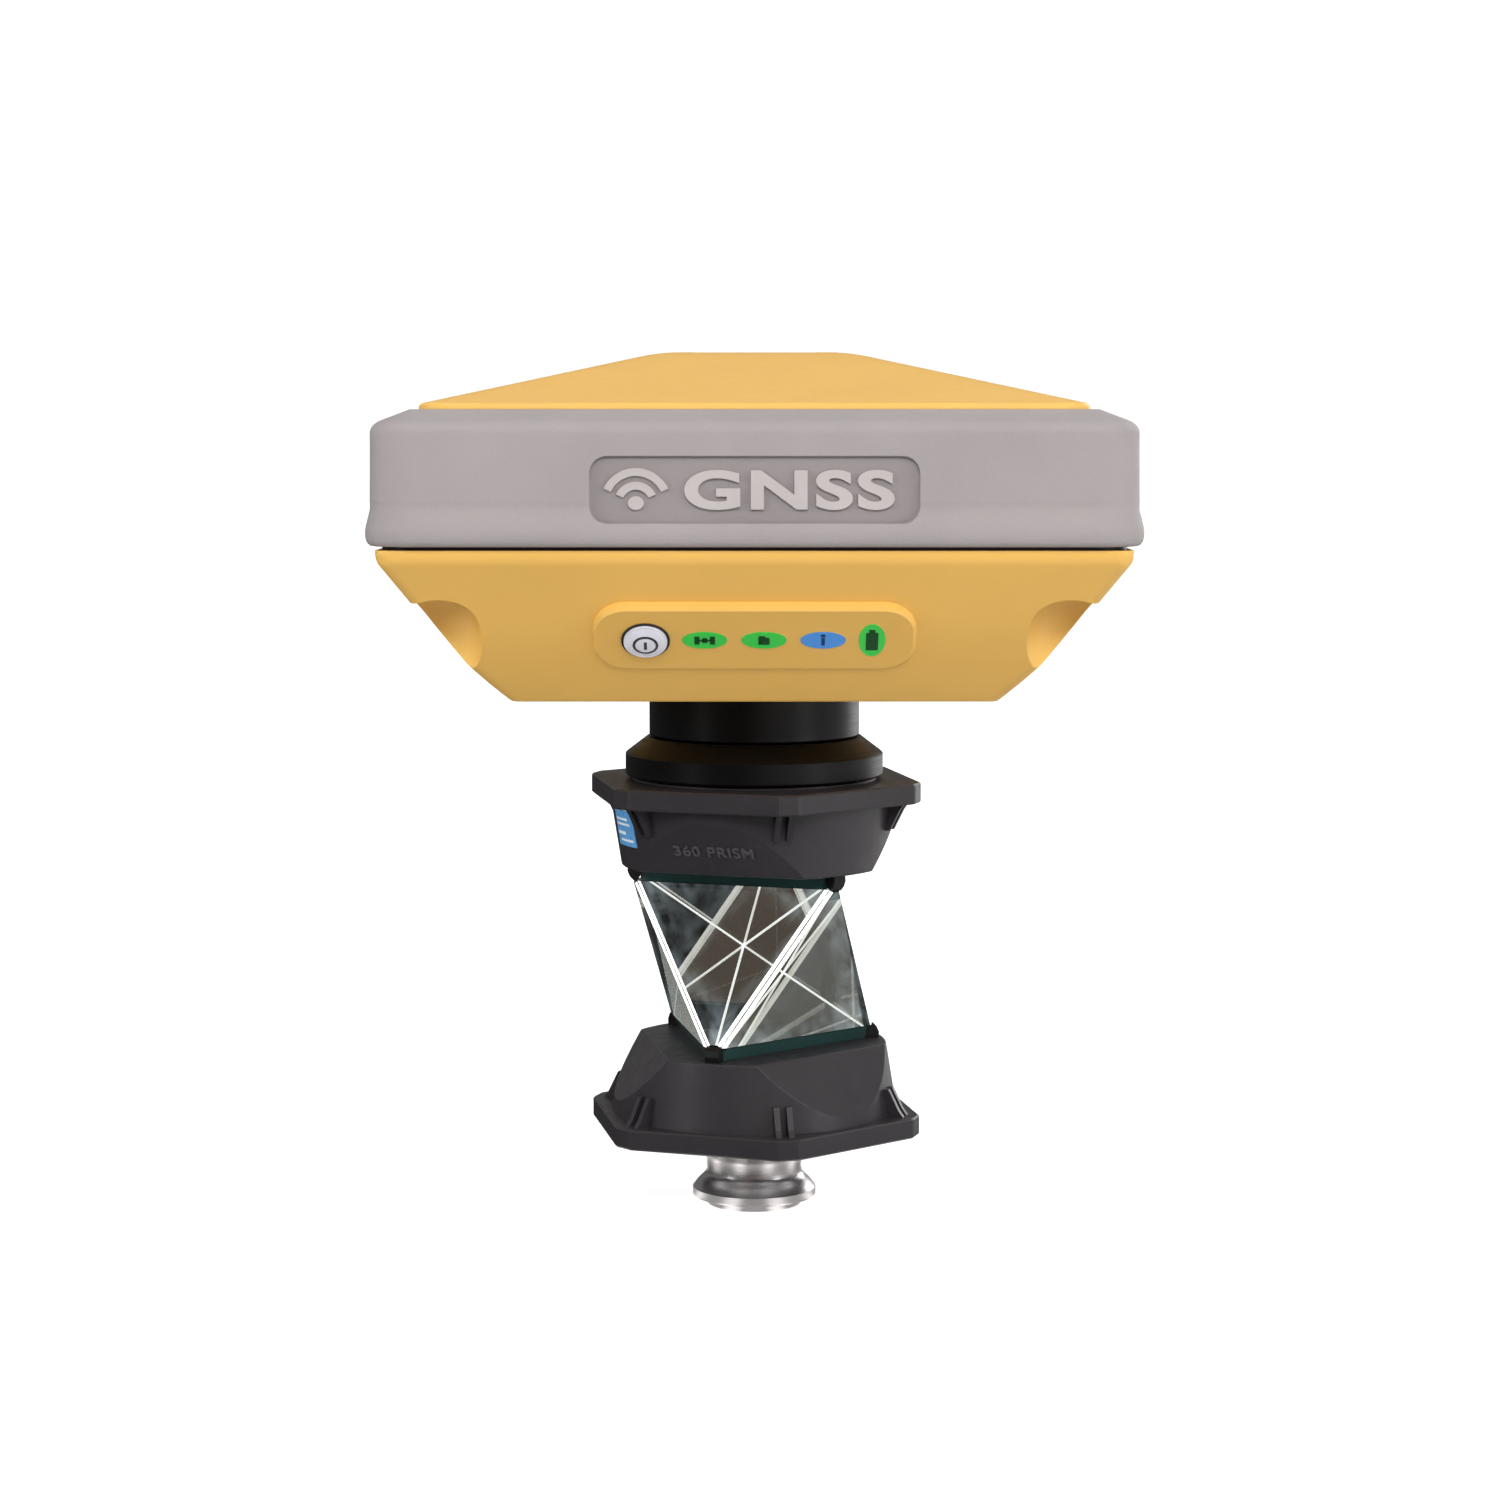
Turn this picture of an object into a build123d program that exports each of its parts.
"""Satellite receiver on a 360-degree prism: the rover head used with a robotic total station.

Millimetres, +Z up, origin at the centre of the pole fitting's bottom face. The control panel
faces -Y. Azimuths are measured from -Y towards +X.
"""
from build123d import *
from math import atan, cos, radians, sin, sqrt, tan
import os

# ---------------------------------------------------------------- prism head, driving dimensions
FITTING_HEIGHT = 16.8          # pole fitting, from its foot to the lower prism housing
PRISM_SPAN = 75.6              # outer face to outer face of the two prism housings
GLASS_RADIUS = 27.3            # circumscribed radius of the glass triangles
PRISM_TURN = 11.0              # azimuth of the first flange corner

FLANGE_THICK = 4.3
FLANGE_FLAT_RADIUS = 36.5      # axis to the flat on each flange corner
FLANGE_FLAT_HALF = 2.35
SEAT_RADIUS = 26.2
SEAT_HEIGHT = 0.4
CONE_BASE_RADIUS = 30.7
CONE_TOP_RADIUS = 28.4
FACET_DISTANCE = 21.7          # axis to a facet, at the glass plane
FACET_SLOPE = 36.6             # degrees from vertical
HUB_RADIUS = 19.0
HUB_THICK = 6.0
HUB_SCREW_CIRCLE = 15.0
HOUSING_FLOOR = 2.6
SPIGOT_RADIUS = 5.1            # prism mounts sit in the housings by this spigot
SEAT_PLATE = 2.9               # tinted plate between a housing and the glass
SEAT_PLATE_REACH = 24.3        # axis to the plate's cut corners

STUD_RADIUS = 7.9375           # 5/8 inch thread, major radius
THREAD_BORE_RADIUS = 6.75      # 5/8 inch thread, minor radius of the nut
THREAD_BORE_DEPTH = 14.0
RUN_GAP = 0.05                 # radial clearance of a running fit
SEAM = 0.02                    # radial clearance of a fixed joint

RING_RADIUS = 27.5
RING_HEIGHT = 5.1
RING_CONE_HEIGHT = 3.2
SLEEVE_RADIUS = 22.4
SLEEVE_NECK_RADIUS = 18.0
STUD_REACH = 12.5              # thread engagement above the lock ring's foot

FLANGE_LOW = FITTING_HEIGHT
FLANGE_HIGH = FLANGE_LOW + PRISM_SPAN
GLASS_MID = (FLANGE_LOW + FLANGE_HIGH) / 2
GLASS_HALF = GLASS_RADIUS / sqrt(2)
GLASS_LOW = GLASS_MID - GLASS_HALF
GLASS_TOP = GLASS_MID + GLASS_HALF
HOUSING_HEIGHT = GLASS_LOW - FLANGE_LOW
LOWER_FACET = PRISM_TURN + 30          # azimuth of a facet on the lower housing
UPPER_FACET = PRISM_TURN - 30          # and on the upper one
RING_LOW = FLANGE_HIGH + SEAT_HEIGHT + 0.3
RING_TOP = RING_LOW + RING_HEIGHT
CONE_TOP = RING_TOP + RING_CONE_HEIGHT
SLEEVE_LOW = CONE_TOP + 0.3
RECEIVER_LEVEL = 112.6                 # the receiver's underside

# ---------------------------------------------------------------- receiver, from its underside
RECEIVER_HALF = 75.0           # half the receiver's width, at the bumper's lip
CASE_CORNER = 8.0
BUMPER_CORNER = 9.5
DOME_CORNER = 6.0
WALL = 2.6

CASE_FOOT_HALF = 48.4
CASE_KNEE = (65.0, 18.3)       # half width and height where the arc meets the straight slope
CASE_SHOULDER = (72.7, 29.0)
SHOULDER_EASE = 1.2            # length of each tangent of the arc that rounds the shoulder
CASE_RIM = 30.9
BUMPER_LOW = 31.6
BUMPER_TOP = 57.8
BUMPER_WALL_TOP = 52.8
BUMPER_INNER_HALF = 70.6
DOME_HALF = 65.1
DOME_SHELF = 53.0              # foot of the dome's skirt, inside the bumper
DOME_EDGE = 58.8
DOME_TOP = 69.7
DOME_SLOPE = 13.5
DOME_KNEE_HALF = 24.0
DOME_FLAT_HALF = 12.0
POCKET_CENTRE = 61.0
POCKET_RADIUS = 8.0
POCKET_CEILING = 22.3
POCKET_ROUNDING = 5.0
POCKET_ROOF = 5.0              # thickness over a pocket, with the screw head's counterbore in it
HEAD_RECESS = 2.6
SCREW_PLACE = 59.0
BOARD_SCREW_PLACE = 44.0
BOARD_LEVEL = 25.8
GROUND_PLANE_LEVEL = 46.8
INSERT_RADIUS = 14.95

PAD_WIDTH = 62.9
PAD_HEIGHT = 17.6
PAD_TILT = 43.5                # the pad's face leans this far under the vertical
PAD_OUT = 62.2                 # axis to the pad's centre
PAD_LEVEL = 13.2
BADGE_WIDTH = 62.9
BADGE_HEIGHT = 12.9
BADGE_LEVEL = 42.5
BADGE_DEPTH = 0.9
BADGE_WALL = 73.9              # axis to the bumper's flat side
BUTTON_X = -21.2
BUTTON_RADIUS = 4.25
LED_PLACES = {"satellite": -9.7, "memory": 1.8, "radio": 13.3}
LED_HALF = (4.4, 2.35)
BATTERY_LED_X = 22.8
BATTERY_LED_HALF = (2.6, 4.5)
PORT_X = 14.0
PORT_Y = -1.0
PORT_RADIUS = 6.2
HINGE_UP_SLOPE = 7.0           # port cap hinge, up the pad's slope from its centre
HINGE_OUT = 1.5                # and out of the pad's face
HINGE_PIN_RADIUS = 0.6
CELL_X = 29.0
CELL_RADIUS = 9.1
CELL_LEVEL = 14.2


# ---------------------------------------------------------------- helpers
def out(azimuth):
    """Unit vector at an azimuth."""
    return Vector(sin(radians(azimuth)), -cos(radians(azimuth)), 0)


def lift(shape, z):
    return Pos(0, 0, z) * shape


def rod(radius, low, high, x=0.0, y=0.0):
    return Pos(x, y, low) * Cylinder(radius, high - low, align=(Align.CENTER, Align.CENTER, Align.MIN))


def tube(outer, inner, low, high, x=0.0, y=0.0):
    return rod(outer, low, high, x, y) - rod(inner, low, high, x, y)


def block(half_x, half_y, low, high, corner=0.0, x=0.0, y=0.0):
    """An upright box with rounded vertical edges."""
    plan = RectangleRounded(2 * half_x, 2 * half_y, corner) if corner else Rectangle(2 * half_x, 2 * half_y)
    return Pos(x, y, low) * extrude(plan, high - low)


def turned(points):
    """A solid of revolution about Z from (radius, height) points."""
    return revolve(Plane.XZ * make_face(Polyline(*points, close=True)), Axis.Z)


def fused(shapes):
    total = shapes[0]
    for shape in shapes[1:]:
        total += shape
    return total


def four(place):
    """The four places (+-place, +-place)."""
    return [(sx * place, sy * place) for sx in (-1, 1) for sy in (-1, 1)]


def softened(shape, edges, radius):
    """Fillets edges, with a smaller radius where the first doesn't fit."""
    for share in (1.0, 0.7, 0.4):
        try:
            done = fillet(edges, radius * share)
        except ValueError:
            continue
        if done.is_valid and done.volume > 0:
            return done
    return shape


# ---------------------------------------------------------------- prism housings
def hexagon():
    """The flange's outline: a hexagon with a flat on each corner."""
    corners = []
    for k in range(6):
        radial = out(PRISM_TURN + 60 * k)
        along = Vector(-radial.Y, radial.X, 0)
        corners += [radial * FLANGE_FLAT_RADIUS - along * FLANGE_FLAT_HALF,
                    radial * FLANGE_FLAT_RADIUS + along * FLANGE_FLAT_HALF]
    return make_face(Polyline(*corners, close=True))


def facet_cutter(azimuth):
    """A block whose lower face is one light-path facet of a housing standing on its flange."""
    radial = out(azimuth)
    slope = radians(FACET_SLOPE)
    normal = radial * cos(slope) + Vector(0, 0, 1) * sin(slope)
    face = Plane(origin=radial * FACET_DISTANCE + Vector(0, 0, HOUSING_HEIGHT), z_dir=normal)
    return face * Box(120, 120, 40, align=(Align.CENTER, Align.CENTER, Align.MIN))


def gusset(azimuth):
    """Twin ribs between the flange and the cone, at one flange corner."""
    radial = out(azimuth)
    side = Plane(origin=(0, 0, 0), x_dir=radial, z_dir=radial.cross(Vector(0, 0, 1)))
    rib_thick, rib_gap = 1.2, 1.5
    foot = FLANGE_THICK - 0.2
    outline = make_face(Polyline((27.0, foot), (34.2, foot), (33.0, foot + 1.6),
                                 (30.8, foot + 6.0), (27.0, foot + 6.0), close=True))
    rib = extrude(side * outline, rib_thick / 2, both=True)
    step = side.z_dir * (rib_thick + rib_gap) / 2
    return [Pos(step) * rib, Pos(step * -1) * rib]


def screw_spots(facet_azimuth):
    return [out(facet_azimuth + 60 + 120 * k) * HUB_SCREW_CIRCLE for k in range(3)]


def housing(facet_azimuth):
    """One housing, standing on its flange at z = 0 with the glass plane on top."""
    cone = Pos(0, 0, FLANGE_THICK) * Cone(CONE_BASE_RADIUS, CONE_TOP_RADIUS, HOUSING_HEIGHT - FLANGE_THICK,
                                          align=(Align.CENTER, Align.CENTER, Align.MIN))
    for k in range(3):
        cone -= facet_cutter(facet_azimuth + 120 * k)
    cone = softened(cone, [e for e in cone.edges() if e.center().Z > FLANGE_THICK + 0.5], 0.45)
    plate = extrude(hexagon(), FLANGE_THICK)
    plate = chamfer(plate.edges(), 0.35)
    seat = rod(SEAT_RADIUS, -SEAT_HEIGHT, 0.1)
    shape = plate + cone + seat
    for k in range(6):
        for rib in gusset(PRISM_TURN + 60 * k):
            shape += rib
    # the hub's well, open at the flange side, and the way through to the glass
    shape -= rod(HUB_RADIUS, -SEAT_HEIGHT - 1, HOUSING_HEIGHT - HOUSING_FLOOR - 2.0)
    shape -= rod(SPIGOT_RADIUS + RUN_GAP, 0, HOUSING_HEIGHT + 1)
    for spot in screw_spots(facet_azimuth):
        shape -= rod(1.25, HOUSING_HEIGHT - HOUSING_FLOOR - 3.0, HOUSING_HEIGHT - 1.0, spot.X, spot.Y)
    return shape


def lower_housing():
    return lift(housing(LOWER_FACET), FLANGE_LOW)


def upper_housing():
    """The same moulding, turned upside down and by 60 degrees."""
    return lift(mirror(housing(UPPER_FACET), Plane.XY), FLANGE_HIGH)


def hub(side):
    """Aluminium disc that carries the thread of a housing; side is -1 below and 1 above."""
    base = FLANGE_LOW - SEAT_HEIGHT if side < 0 else FLANGE_HIGH + SEAT_HEIGHT - HUB_THICK
    disc = rod(HUB_RADIUS - RUN_GAP, base, base + HUB_THICK)
    thread = 9.0 if side < 0 else STUD_RADIUS
    disc -= rod(thread + SEAM, base - 1, base + HUB_THICK + 1)
    for spot in screw_spots(LOWER_FACET if side < 0 else UPPER_FACET):
        disc -= rod(1.65, base - 1, base + HUB_THICK + 1, spot.X, spot.Y)
        head_low = base - 1 if side < 0 else base + HUB_THICK - 2.2
        disc -= rod(3.1, head_low, head_low + 3.2, spot.X, spot.Y)
    return disc


def hub_screws(side):
    """Three cap screws that pull a hub into its housing."""
    outside = FLANGE_LOW - SEAT_HEIGHT if side < 0 else FLANGE_HIGH + SEAT_HEIGHT
    shank_end = GLASS_LOW - 1.2 if side < 0 else GLASS_TOP + 1.2
    screws = []
    for spot in screw_spots(LOWER_FACET if side < 0 else UPPER_FACET):
        head = sorted((outside - side * 0.2, outside - side * 2.2))
        shank = sorted((outside - side * 2.1, shank_end))
        mouth = sorted((outside + side * 0.1, outside - side * 1.5))
        socket = Pos(spot.X, spot.Y, mouth[0]) * extrude(RegularPolygon(1.45, 6), mouth[1] - mouth[0])
        screws.append(rod(2.9, *head, spot.X, spot.Y) + rod(1.2, *shank, spot.X, spot.Y) - socket)
    return Compound(screws)


# ---------------------------------------------------------------- glass
def glass_point(azimuth, level):
    return out(azimuth) * GLASS_RADIUS + Vector(0, 0, level)


def octant(corners, gap, tip_cut, bevel):
    """A right-angled corner of the glass octahedron, from its middle to three of its corners."""
    apex = Vector(0, 0, GLASS_MID)
    middle = (corners[0] + corners[1] + corners[2] + apex) * 0.25
    front = (corners[0] + corners[1] + corners[2]) * (1 / 3)
    backs = [(apex, corners[k], corners[(k + 1) % 3]) for k in range(3)]
    solid = Solid(Shell([Face(Wire.make_polygon(points)) for points in [corners, *backs]]))
    cutters = []
    for a, b, c in backs:
        normal = (b - a).cross(c - a).normalized()
        if normal.dot(middle - a) > 0:
            normal = normal * -1
        cutters.append((a - normal * gap, normal))
    cutters.append((apex + (front - apex) * 0.045, (apex - front).normalized()))
    for corner in corners:
        cutters.append((corner + (apex - corner).normalized() * tip_cut, (corner - apex).normalized()))
    for k in range(3):
        edge_mid = (corners[k] + corners[(k + 1) % 3]) * 0.5
        outward = ((edge_mid - apex).normalized() + (edge_mid - front).normalized()).normalized()
        cutters.append((edge_mid - outward * bevel, outward))
    for point, normal in cutters:
        solid -= Plane(origin=point, z_dir=normal) * Box(140, 140, 50, align=(Align.CENTER, Align.CENTER, Align.MIN))
    return solid


def corner_prisms():
    """Six glass corner cubes, by name: three that point down and three that point up."""
    prisms = {}
    for k in range(3):
        for name, facet, base, tip in (("down", UPPER_FACET, GLASS_TOP, GLASS_LOW),
                                       ("up", LOWER_FACET, GLASS_LOW, GLASS_TOP)):
            azimuth = facet + 120 * k
            corners = [glass_point(azimuth - 60, base), glass_point(azimuth + 60, base), glass_point(azimuth, tip)]
            whole = octant(corners, 0.14, 3.1, 0.75)
            between = rod(60, GLASS_LOW + SEAT_PLATE + 0.04, GLASS_TOP - SEAT_PLATE - 0.04)
            prisms[f"corner_prism_{name}_{k + 1}"] = whole & between
    return prisms


def mount_place(side):
    """Level and first azimuth of the glass corners that stand on a housing."""
    return (GLASS_LOW, UPPER_FACET) if side < 0 else (GLASS_TOP, LOWER_FACET)


def prism_mount(side):
    """Pyramid that fills the unused top or bottom corner of the octahedron and carries the glass."""
    level, azimuth = mount_place(side)
    pyramid = octant([glass_point(azimuth + 120 * k, level) for k in range(3)], 0.14, 3.1, 0.9)
    skim = sorted((level - side * (SEAT_PLATE + 0.04), level + side * 1.0))
    spigot = sorted((level - side * (SEAT_PLATE + 0.5), level + side * (HOUSING_FLOOR + 1.5)))
    return pyramid - rod(60, *skim) + rod(SPIGOT_RADIUS, *spigot)


def prism_seat(side):
    """Dark glass plate between a housing and the corner cubes: the end slice of the octahedron."""
    level, azimuth = mount_place(side)
    far = GLASS_LOW if side > 0 else GLASS_TOP
    plate = rod(40, *sorted((level - side * 0.04, level - side * SEAT_PLATE)))
    middle = Vector(0, 0, GLASS_MID)
    for k in range(3):
        corner = azimuth + 120 * k
        for a, b, c in ((glass_point(corner, level), glass_point(corner + 120, level), glass_point(corner + 60, far)),
                        (glass_point(corner + 60, far), glass_point(corner - 60, far), glass_point(corner, level))):
            normal = (b - a).cross(c - a).normalized()
            if normal.dot(a - middle) < 0:
                normal = normal * -1
            face = Plane(origin=a - normal * 0.3, z_dir=normal)
            plate -= face * Box(140, 140, 50, align=(Align.CENTER, Align.CENTER, Align.MIN))
        cut = Plane(origin=out(corner) * SEAT_PLATE_REACH + Vector(0, 0, level), z_dir=out(corner))
        plate -= cut * Box(140, 140, 50, align=(Align.CENTER, Align.CENTER, Align.MIN))
    return plate - rod(SPIGOT_RADIUS + RUN_GAP, GLASS_LOW - 1, GLASS_TOP + 1)


def corner_pads(side):
    """Three sealant blocks that close the glass corners against a housing."""
    level, azimuth = mount_place(side)
    pads = []
    for k in range(3):
        radial = out(azimuth + 120 * k)
        side_on = Plane(origin=(0, 0, level), x_dir=radial, z_dir=radial.cross(Vector(0, 0, 1)))
        outline = make_face(Polyline((24.4, 0), (27.2, 0), (27.3, -side * 1.2), (26.8, -side * 2.4),
                                     (25.7, -side * 3.6), (24.4, -side * 4.0), close=True))
        pad = extrude(side_on * outline, 1.55, both=True)
        corner = glass_point(azimuth + 120 * k, level)
        inward = (Vector(0, 0, GLASS_MID) - corner).normalized()
        keep = Plane(origin=corner + inward * 3.0, z_dir=inward)
        pads.append(pad - keep * Box(60, 60, 40, align=(Align.CENTER, Align.CENTER, Align.MIN)))
    return Compound(pads)


def prism_label():
    """Thin label on the upper housing's cone."""
    cones = [Pos(0, 0, FLANGE_THICK) * Cone(CONE_BASE_RADIUS + grow, CONE_TOP_RADIUS + grow,
                                            HOUSING_HEIGHT - FLANGE_THICK,
                                            align=(Align.CENTER, Align.CENTER, Align.MIN))
             for grow in (0.15, 0.0)]
    radial = out(PRISM_TURN - 77)
    window = Plane(origin=radial * 30 + Vector(0, 0, FLANGE_THICK + 5.2), x_dir=Vector(0, 0, 1), z_dir=radial)
    patch = (cones[0] - cones[1]) & (window * Box(7.6, 9.2, 12))
    return lift(mirror(patch, Plane.XY), FLANGE_HIGH)


# ---------------------------------------------------------------- fitting, stud and collar
def pole_fitting():
    """Turned steel spool with the pole thread in its foot and a spigot in the lower hub."""
    shoulder, top = FITTING_HEIGHT - SEAT_HEIGHT, FITTING_HEIGHT + HUB_THICK
    foot = [(0, 0), (10.0, 0), (10.4, 0.4), (10.6, 1.5), (12.85, 1.7), (13.25, 2.1), (13.25, 3.6)]
    waist = [(13.25, 3.6), (12.7, 4.3), (11.9, 5.2), (10.95, 6.1), (10.45, 6.9), (10.3, 7.8), (10.3, 9.2),
             (10.45, 10.1), (11.1, 11.1), (12.2, 12.0), (13.0, 12.8)]
    head = [(13.0, 12.8), (13.0, shoulder), (9.0, shoulder), (9.0, top), (0, top), (0, 0)]
    outline = Wire(Polyline(*foot).edges() + Spline(*waist).edges() + Polyline(*head).edges())
    spool = revolve(Plane.XZ * Face(outline), Axis.Z)
    mouth = 1.3
    countersink = turned([(0, -0.01), (THREAD_BORE_RADIUS + mouth, -0.01), (THREAD_BORE_RADIUS, mouth), (0, mouth)])
    return spool - rod(THREAD_BORE_RADIUS, -1, THREAD_BORE_DEPTH) - countersink


def top_stud():
    """Steel 5/8 inch stud screwed into the upper hub."""
    high = RING_LOW + STUD_REACH
    stud = rod(STUD_RADIUS, FLANGE_HIGH - HUB_THICK + SEAT_HEIGHT, high)
    stud = chamfer(stud.edges().filter_by(GeomType.CIRCLE), 0.8)
    return stud - Pos(0, 0, high - 4) * extrude(RegularPolygon(3.4, 6), 5)


def lock_ring():
    """Cone-topped ring that jams the sleeve against the prism's seat."""
    bore = SLEEVE_NECK_RADIUS + RUN_GAP
    return turned([(bore, RING_LOW), (RING_RADIUS - 0.5, RING_LOW), (RING_RADIUS, RING_LOW + 0.5),
                   (RING_RADIUS, RING_TOP - 0.4), (RING_RADIUS - 0.4, RING_TOP), (SLEEVE_RADIUS + 0.5, CONE_TOP),
                   (bore, CONE_TOP)])


def adapter_sleeve():
    """Black collar between the prism and the receiver, bored for the prism's stud."""
    low, well = RING_LOW + 0.4, RECEIVER_LEVEL - 4.0
    return turned([(STUD_RADIUS + RUN_GAP, low), (SLEEVE_NECK_RADIUS, low), (SLEEVE_NECK_RADIUS, SLEEVE_LOW),
                   (SLEEVE_RADIUS - 0.3, SLEEVE_LOW), (SLEEVE_RADIUS, SLEEVE_LOW + 0.3),
                   (SLEEVE_RADIUS, RECEIVER_LEVEL), (STUD_RADIUS + SEAM, RECEIVER_LEVEL), (STUD_RADIUS + SEAM, well),
                   (0, well), (0, low + STUD_REACH + 0.5), (STUD_RADIUS + RUN_GAP, low + STUD_REACH + 0.5)])


def adapter_stud():
    """Steel stud from the sleeve into the receiver's threaded insert."""
    stud = rod(STUD_RADIUS, RECEIVER_LEVEL - 4.0, RECEIVER_LEVEL + 12.0)
    return chamfer(stud.edges().filter_by(GeomType.CIRCLE), 0.7)


# ---------------------------------------------------------------- receiver shells
def four_sided(half_section, corner, low, high):
    """Solid with the same section on all four sides and rounded corner edges between two heights."""
    half = Wire(half_section)
    face = Face(Wire(list(half.edges()) + list(mirror(half, Plane.YZ).edges())))
    run = extrude(face, 120, dir=(0, 1, 0), both=True)
    body = run & (Rot(0, 0, 90) * run)
    mitres = []
    for edge in body.edges():
        middle = edge.center()
        if low < middle.Z < high and abs(abs(middle.X) - abs(middle.Y)) < 0.3 and abs(middle.X) > 20:
            mitres.append(edge)
    return softened(body, mitres, corner)


def case_section(inset, floor):
    """Half outline of the lower case, moved in by inset."""
    knee = Vector(CASE_KNEE[0] - inset, 0, CASE_KNEE[1])
    lean = atan((CASE_SHOULDER[0] - CASE_KNEE[0]) / (CASE_SHOULDER[1] - CASE_KNEE[1]))
    foot = Vector(CASE_FOOT_HALF - inset, 0, floor)
    shoulder = Vector(CASE_SHOULDER[0] - inset, 0, CASE_SHOULDER[1])
    rim = Vector(shoulder.X, 0, CASE_RIM + (2 if inset else 0))
    downhill = Vector(-sin(lean), 0, -cos(lean))
    above, below = shoulder + Vector(0, 0, SHOULDER_EASE), shoulder + downhill * SHOULDER_EASE
    return [Edge.make_line(Vector(0, 0, rim.Z), rim), Edge.make_line(rim, above),
            Edge.make_tangent_arc(above, Vector(0, 0, -1), below), Edge.make_line(below, knee),
            Edge.make_tangent_arc(knee, downhill, foot), Edge.make_line(foot, Vector(0, 0, floor))]


def pad_plane(side):
    """The plane of the control pad (side -1) or the port pad (side 1), with its y axis up the slope."""
    tilt = radians(PAD_TILT)
    return Plane(origin=(0, side * PAD_OUT, PAD_LEVEL), x_dir=(-side, 0, 0), z_dir=(0, side * cos(tilt), -sin(tilt)))


def pad(side):
    """Raised pad on a sloping side, proud at its upper edge."""
    slab = extrude(RectangleRounded(PAD_WIDTH, PAD_HEIGHT, 6.6), -5.0)
    return pad_plane(side) * chamfer(slab.faces().sort_by(Axis.Z)[-1].edges(), 0.7)


def oval(x, half, low, high):
    return Pos(x, 0, low) * extrude(Ellipse(*half), high - low)


def hinge_rod(x, radius, length):
    """A rod on a port cap's hinge axis, in the pad's plane."""
    return Pos(x, HINGE_UP_SLOPE, HINGE_OUT) * Rot(0, 90, 0) * Cylinder(radius, length)


def hinge_ears():
    """Two ears beside each port that hold its cap's pin, in the port pad's plane."""
    return [Pos(x + shift, HINGE_UP_SLOPE, -1.0) * Box(1.6, 3.0, 3.4, align=(Align.CENTER, Align.CENTER, Align.MIN))
            for x in (-PORT_X, PORT_X) for shift in (-3.6, 3.6)]


def lower_case():
    """Yellow tub with a control pad, a port pad, four screw pockets and board pillars."""
    outer = four_sided(case_section(0, 0), CASE_CORNER, 1, CASE_RIM - 0.1)
    outer = softened(outer, outer.faces().sort_by(Axis.Z)[0].edges(), 1.6)
    hollow = four_sided(case_section(WALL, WALL), CASE_CORNER - WALL, WALL + 1, CASE_RIM + 1.9)
    for x, y in four(POCKET_CENTRE):
        hollow -= rod(POCKET_RADIUS + 2.2, 0, POCKET_CEILING + POCKET_ROOF, x, y)
    for x, y in four(BOARD_SCREW_PLACE):
        hollow -= rod(3.4, 0, BOARD_LEVEL - 0.1, x, y)
    hollow -= rod(INSERT_RADIUS + 2.5, 0, 12.0)
    front, rear = pad_plane(-1), pad_plane(1)
    shape = outer - (hollow - pad(-1) - pad(1)) + pad(-1) + pad(1)
    pocket = rod(POCKET_RADIUS, -5, POCKET_CEILING)
    pocket = fillet(pocket.edges().sort_by(Axis.Z)[-1:], POCKET_ROUNDING)
    for x, y in four(POCKET_CENTRE):
        shape -= Pos(x, y, 0) * pocket
    for x, y in four(SCREW_PLACE):
        shape -= rod(3.2, POCKET_CEILING - 1, POCKET_CEILING + HEAD_RECESS, x, y)
        shape -= rod(1.75, POCKET_CEILING, POCKET_CEILING + POCKET_ROOF + 1, x, y)
    for x, y in four(BOARD_SCREW_PLACE):
        shape -= rod(1.1, BOARD_LEVEL - 8, BOARD_LEVEL + 1, x, y)
    shape -= rod(INSERT_RADIUS + RUN_GAP, -1, 20)
    shape -= front * rod(4.75, -12, 5, BUTTON_X)
    for x in LED_PLACES.values():
        shape -= front * oval(x, LED_HALF, -12, 5)
    shape -= front * oval(BATTERY_LED_X, BATTERY_LED_HALF, -12, 5)
    for ear in hinge_ears():
        shape += rear * ear
    for x in (-PORT_X, PORT_X):
        shape -= rear * rod(PORT_RADIUS, -12, 5, x, PORT_Y)
        shape -= rear * hinge_rod(x, HINGE_PIN_RADIUS, 10.4)
    return shape


def case_seal():
    """Black gasket in the seam between the lower case and the bumper."""
    outer, inner = CASE_SHOULDER[0] - 0.9, CASE_SHOULDER[0] - WALL
    return (block(outer, outer, CASE_RIM, BUMPER_LOW, CASE_CORNER - 1)
            - block(inner, inner, CASE_RIM - 1, BUMPER_LOW + 1, CASE_CORNER - WALL))


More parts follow.
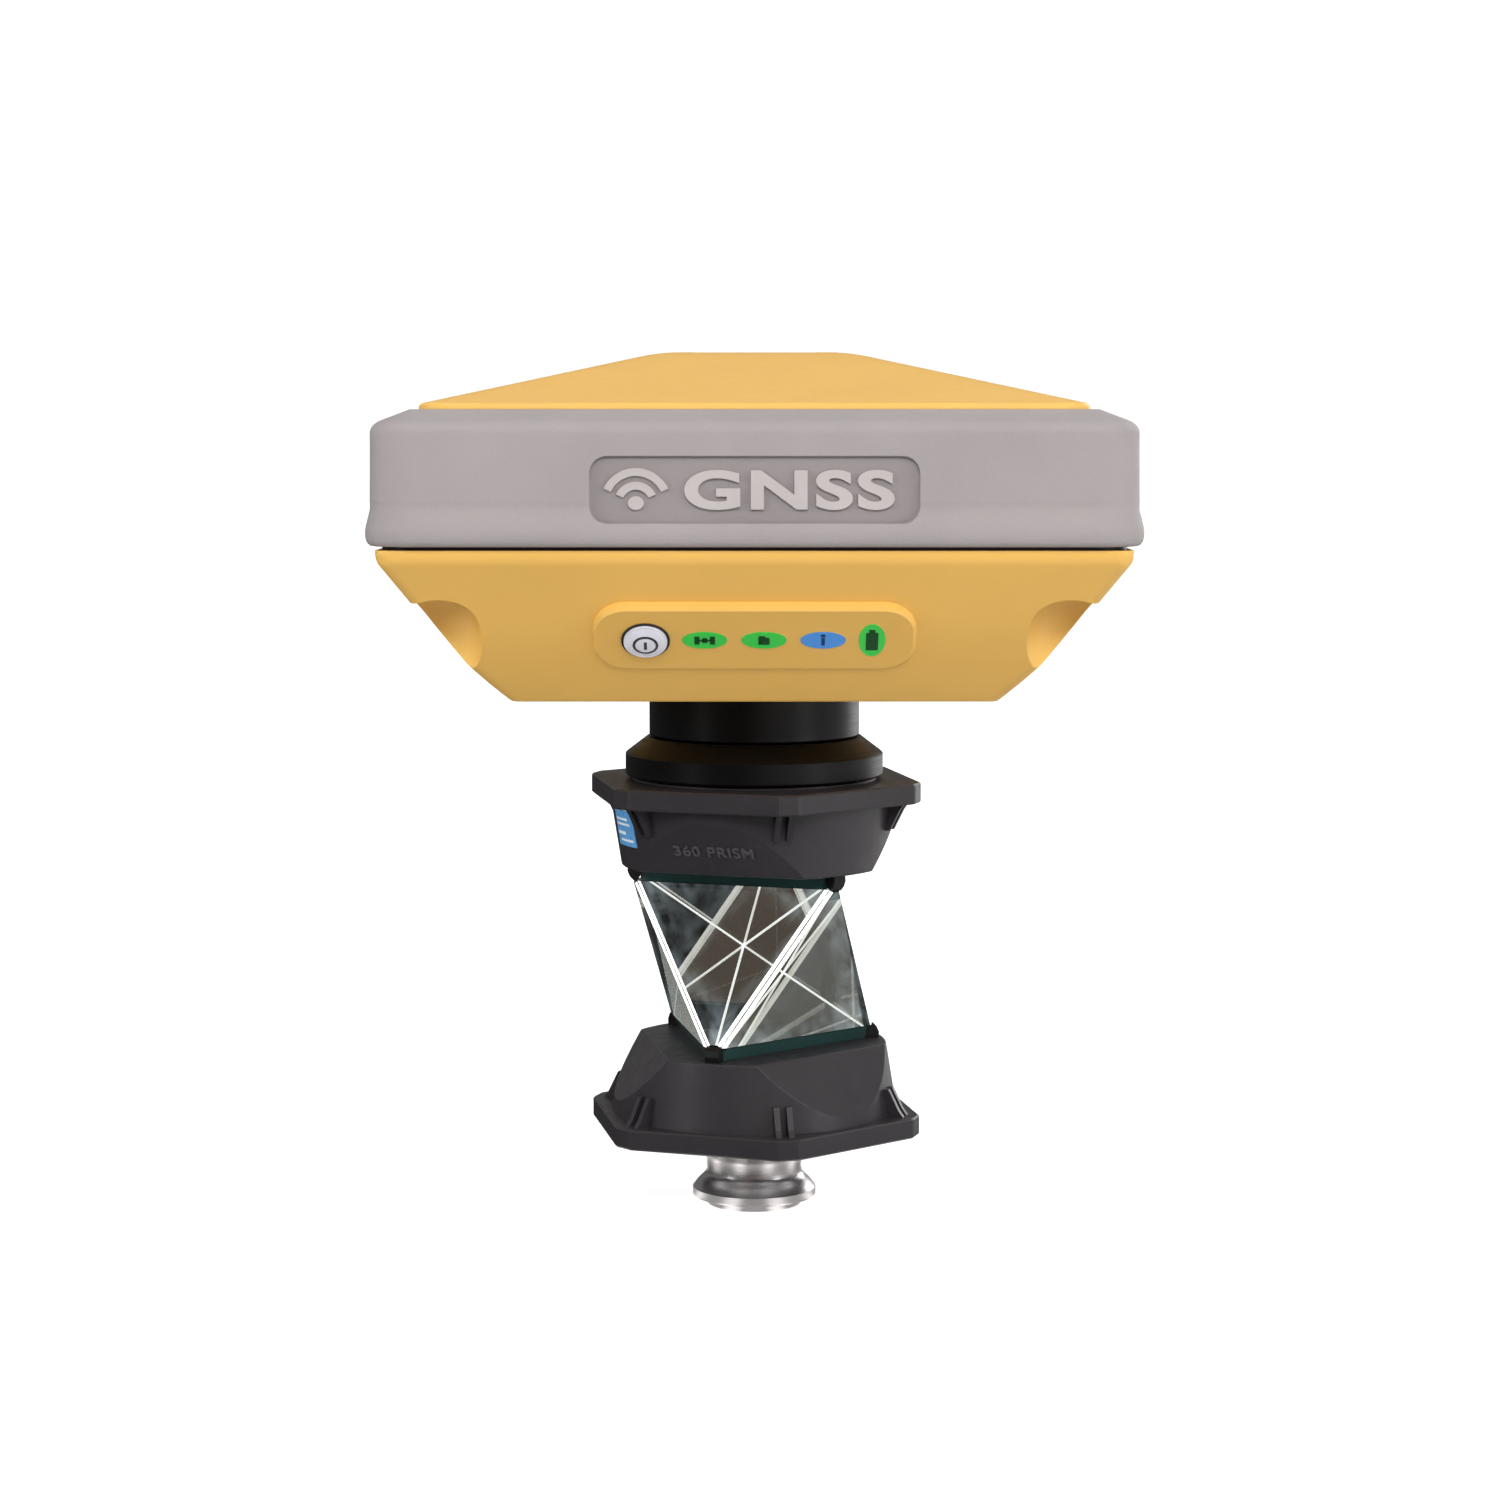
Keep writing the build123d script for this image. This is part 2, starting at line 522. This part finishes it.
def bumper():
    """Grey impact band with its shoulder, lip and badge recess."""
    inset = RECEIVER_HALF - BUMPER_CORNER
    points = [(inset, 0), (73.3, 0), (74.6, 0.6), (RECEIVER_HALF, 2.0), (74.9, 3.7), (74.35, 5.7), (74.05, 8.6),
              (73.9, 21.4), (73.6, 22.7), (72.7, 23.6), (71.2, 24.3), (66.2, 26.2), (inset, 26.2)]
    path = [Vector(x, 0, BUMPER_LOW + z) for x, z in points]
    section = Face(Wire([Edge.make_line(path[0], path[1]), Edge.make_spline(path[1:7]),
                         Edge.make_line(path[6], path[7]), Edge.make_spline(path[7:11]),
                         Edge.make_line(path[10], path[11]), Edge.make_line(path[11], path[12]),
                         Edge.make_line(path[12], path[0])]))
    side = extrude(section, inset, dir=(0, 1, 0), both=True)
    corner = Pos(0, inset, 0) * revolve(section, Axis((inset, 0, 0), (0, 0, 1)), 90)
    body = block(inset, inset, BUMPER_LOW, BUMPER_TOP)
    for k in range(4):
        body += Rot(0, 0, 90 * k) * (side + corner)
    opening = DOME_HALF + 0.15
    body -= block(BUMPER_INNER_HALF, BUMPER_INNER_HALF, BUMPER_LOW - 1, BUMPER_WALL_TOP, BUMPER_CORNER - 3)
    body -= block(opening, opening, BUMPER_LOW, BUMPER_TOP + 5, DOME_CORNER + 0.15)
    recess = Plane(origin=(0, -BADGE_WALL - 2, BADGE_LEVEL), x_dir=(1, 0, 0), z_dir=(0, -1, 0))
    return body - recess * extrude(RectangleRounded(BADGE_WIDTH, BADGE_HEIGHT, 3.4), -(2 + BADGE_DEPTH))


def dome_section(inset, drop, foot):
    """Half outline of the dome, moved in by inset and down by drop, with its skirt down to foot."""
    slope = tan(radians(DOME_SLOPE))
    edge = Vector(DOME_HALF - inset, 0, DOME_EDGE - drop + inset * slope)
    knee = Vector(DOME_KNEE_HALF, 0, DOME_EDGE - drop + (DOME_HALF - DOME_KNEE_HALF) * slope)
    flat = Vector(DOME_FLAT_HALF, 0, DOME_TOP - drop)
    return [Edge.make_line(Vector(0, 0, foot), Vector(edge.X, 0, foot)),
            Edge.make_line(Vector(edge.X, 0, foot), edge), Edge.make_line(edge, knee),
            Edge.make_tangent_arc(knee, Vector(-1, 0, slope).normalized(), flat),
            Edge.make_line(flat, Vector(0, 0, flat.Z))]


def radome():
    """Yellow antenna cover: a low hipped dome with a flat top, and its screw bosses."""
    outer = four_sided(dome_section(0, 0, DOME_SHELF), DOME_CORNER, DOME_SHELF, DOME_EDGE - 0.05)
    hips = [e for e in outer.edges() if DOME_EDGE + 0.5 < e.center().Z < DOME_TOP - 0.02
            and abs(abs(e.center().X) - abs(e.center().Y)) < 1.0]
    outer = softened(outer, hips, 14.0)
    rim = [e for e in outer.edges() if abs(e.center().Z - DOME_EDGE) < 0.5
           and max(abs(e.center().X), abs(e.center().Y)) > 50]
    outer = softened(outer, rim, 1.1)
    shell = outer - four_sided(dome_section(WALL, 2.4, DOME_SHELF - 3), 3.0, DOME_SHELF - 3, DOME_EDGE - 3)
    for x, y in four(SCREW_PLACE):
        shell += rod(3.3, POCKET_CEILING + POCKET_ROOF, DOME_EDGE - 1, x, y)
    for x, y in four(SCREW_PLACE):
        shell -= rod(1.3, POCKET_CEILING, POCKET_CEILING + 17.0, x, y)
    return shell


def case_screws():
    """Four cap screws in the corner pockets."""
    screws = []
    for x, y in four(SCREW_PLACE):
        seat = POCKET_CEILING + HEAD_RECESS
        screw = rod(2.9, seat - 2.4, seat, x, y)
        screw += rod(1.25, seat - 0.1, seat + 13.0, x, y)
        screws.append(screw - Pos(x, y, seat - 2.5) * extrude(RegularPolygon(1.45, 6), 1.6))
    return Compound(screws)


# ---------------------------------------------------------------- controls
def power_button():
    """Round key with a shallow dome."""
    dome_radius = 13.0
    dome = Pos(0, 0, 0.7 + 0.6 - dome_radius) * Sphere(dome_radius) & rod(BUTTON_RADIUS, 0, 2)
    return pad_plane(-1) * (Pos(BUTTON_X, 0, 0) * (rod(BUTTON_RADIUS, -3.4, 0.7) + dome))


def button_bezel():
    return pad_plane(-1) * tube(4.73, BUTTON_RADIUS + 0.08, -3.0, 0.3, BUTTON_X)


def led_window(name):
    x, half = (BATTERY_LED_X, BATTERY_LED_HALF) if name == "battery" else (LED_PLACES[name], LED_HALF)
    return pad_plane(-1) * oval(x, (half[0] - SEAM, half[1] - SEAM), -3.2, 0.12)


def keypad_board():
    return pad_plane(-1) * (Pos(0, 0, -7.4) * Box(56, 13, 1.4))


def key_switch():
    """Tactile switch under the power button."""
    body = Pos(BUTTON_X, 0, -6.7) * Box(6, 6, 1.6, align=(Align.CENTER, Align.CENTER, Align.MIN))
    return pad_plane(-1) * (body + rod(1.6, -5.2, -4.3, BUTTON_X))


def led_chips():
    places = [*LED_PLACES.values(), BATTERY_LED_X]
    chip = Box(3, 2, 1.2, align=(Align.CENTER, Align.CENTER, Align.MIN))
    return Compound([pad_plane(-1) * (Pos(x, 0, -6.7) * chip) for x in places])


# ---------------------------------------------------------------- ports
def port(x):
    """Round socket: metal shell, insert and contact pins."""
    shell = tube(PORT_RADIUS - RUN_GAP, 4.7, -9.0, 0.3) + rod(5.0, -9.0, -6.0)
    insert = rod(3.0, -6.1, -2.0)
    pins = [rod(0.35, -2.1, -0.9, *spot) for spot in ((-1.3, 0.6), (1.3, 0.6), (0, -1.4), (-1.0, -1.2))]
    return pad_plane(1) * (Pos(x, PORT_Y, 0) * fused([shell, insert, *pins]))


def port_cap(x):
    """Rubber dust cap with its plug ring, pull tab and hinge eye."""
    low = Align.CENTER, Align.CENTER, Align.MIN
    cap = Pos(x, PORT_Y, 0.45) * Cylinder(6.9, 2.2, align=low)
    cap = softened(cap, cap.faces().sort_by(Axis.Z)[-1].edges(), 0.7)
    plug = tube(4.5, 3.4, -1.6, 0.5, x, PORT_Y)
    strap = Pos(x, 6.2, 0.45) * Box(4.8, 2.8, 1.6, align=low)
    pull = Pos(x, -8.6, 0.45) * Box(5.0, 2.6, 1.4, align=low)
    eye = hinge_rod(x, 1.25, 5.0)
    return pad_plane(1) * (cap + plug + strap + eye + pull - hinge_rod(x, HINGE_PIN_RADIUS + RUN_GAP, 6))


def cap_pins():
    return Compound([pad_plane(1) * hinge_rod(x, HINGE_PIN_RADIUS, 8.8) for x in (-PORT_X, PORT_X)])


# ---------------------------------------------------------------- inside the receiver
def base_insert():
    """Brass insert with the 5/8 inch thread, in the case's floor."""
    return tube(INSERT_RADIUS, STUD_RADIUS + SEAM, 0, 12.0) + tube(INSERT_RADIUS + 2.3, STUD_RADIUS + SEAM, 12.0, 14.0)


def cell(x, radius, length):
    return Pos(x, 0, CELL_LEVEL) * Rot(90, 0, 0) * Cylinder(radius, length)


def battery_cells():
    return Compound([cell(x, CELL_RADIUS, 65) for x in (-CELL_X, CELL_X)])


def battery_tray():
    """Two cradles on the case's floor."""
    return Compound([block(10.6, 34.5, WALL, WALL + 9.0, 1.5, x) - cell(x, CELL_RADIUS + RUN_GAP, 65.2)
                     for x in (-CELL_X, CELL_X)])


def main_board():
    board = block(55, 55, BOARD_LEVEL, BOARD_LEVEL + 1.6, 7.0)
    for x, y in four(BOARD_SCREW_PLACE):
        board -= rod(1.6, BOARD_LEVEL - 1, BOARD_LEVEL + 3, x, y)
    return board


def board_screws():
    top = BOARD_LEVEL + 1.6
    return Compound([rod(1.05, top - 8.6, top, x, y) + rod(2.6, top, top + 1.6, x, y)
                     for x, y in four(BOARD_SCREW_PLACE)])


def on_board(half_x, half_y, height, x, y):
    top = BOARD_LEVEL + 1.6
    return block(half_x, half_y, top, top + height, 0.8, x, y)


def shield_cans():
    return Compound([on_board(17, 14, 3.6, -26, 12), on_board(12, 14, 3.2, 14, 14), on_board(20, 9, 2.8, 8, -22)])


def radio_module():
    """Short-range radio board with its stub aerial."""
    top = BOARD_LEVEL + 1.6
    return on_board(8, 12, 2.6, -32, -18) + rod(1.6, top + 2.6, top + 5.9, -32, -12)


def antenna_posts():
    top = BOARD_LEVEL + 1.6
    return Compound([rod(3.0, top + 0.1, GROUND_PLANE_LEVEL, x, y) for x, y in four(36.0)])


def ground_plane():
    return block(57, 57, GROUND_PLANE_LEVEL, GROUND_PLANE_LEVEL + 1.5, 6.0)


def antenna_patches():
    """Two stacked ceramic patches."""
    low = GROUND_PLANE_LEVEL + 1.5
    return block(33, 33, low, low + 6.0, 1.5) + block(24, 24, low + 6.0, low + 10.5, 1.5)


def antenna_lead():
    """Coax from the antenna plate down to a shield can."""
    can_top = BOARD_LEVEL + 1.6 + 3.2
    route = [(12, 3, GROUND_PLANE_LEVEL), (12, 3, 40.8), (14, 10, 36.3), (14, 10, can_top)]
    radii = [2.6, 2.6]
    print("antenna lead bend radii, mm:", radii)
    section = Plane(origin=route[0], z_dir=(0, 0, -1)) * Circle(0.9)
    return sweep(section, FilletPolyline(*route, radius=radii))


# ---------------------------------------------------------------- all nodes
def head_nodes():
    """Nodes modelled in the part's own frame."""
    nodes = {
        "pole_fitting": pole_fitting(),
        "lower_housing": lower_housing(),
        "upper_housing": upper_housing(),
        "lower_hub": hub(-1),
        "upper_hub": hub(1),
        "lower_hub_screws": hub_screws(-1),
        "upper_hub_screws": hub_screws(1),
        "lower_prism_mount": prism_mount(-1),
        "upper_prism_mount": prism_mount(1),
        "lower_prism_seat": prism_seat(-1),
        "upper_prism_seat": prism_seat(1),
        "lower_corner_pads": corner_pads(-1),
        "upper_corner_pads": corner_pads(1),
        "prism_label": prism_label(),
        "top_stud": top_stud(),
        "lock_ring": lock_ring(),
        "adapter_sleeve": adapter_sleeve(),
        "adapter_stud": adapter_stud(),
    }
    nodes.update(corner_prisms())
    return nodes


def receiver_nodes():
    """Nodes modelled from the receiver's underside, and lifted to their place."""
    nodes = {
        "lower_case": lower_case(),
        "case_seal": case_seal(),
        "bumper_band": bumper(),
        "radome_cover": radome(),
        "case_screws": case_screws(),
        "power_button": power_button(),
        "button_bezel": button_bezel(),
        "keypad_board": keypad_board(),
        "key_switch": key_switch(),
        "led_chips": led_chips(),
        "power_port": port(-PORT_X),
        "data_port": port(PORT_X),
        "power_port_cap": port_cap(-PORT_X),
        "data_port_cap": port_cap(PORT_X),
        "cap_hinge_pins": cap_pins(),
        "base_insert": base_insert(),
        "battery_cells": battery_cells(),
        "battery_tray": battery_tray(),
        "main_board": main_board(),
        "board_screws": board_screws(),
        "shield_cans": shield_cans(),
        "radio_module": radio_module(),
        "antenna_posts": antenna_posts(),
        "ground_plane": ground_plane(),
        "antenna_patches": antenna_patches(),
        "antenna_lead": antenna_lead(),
    }
    for name in ("satellite", "memory", "radio", "battery"):
        nodes[f"led_window_{name}"] = led_window(name)
    return {name: lift(shape, RECEIVER_LEVEL) for name, shape in nodes.items()}


def main():
    os.makedirs("parts", exist_ok=True)
    for name, shape in {**head_nodes(), **receiver_nodes()}.items():
        export_step(shape, f"parts/{name}.step")


main()
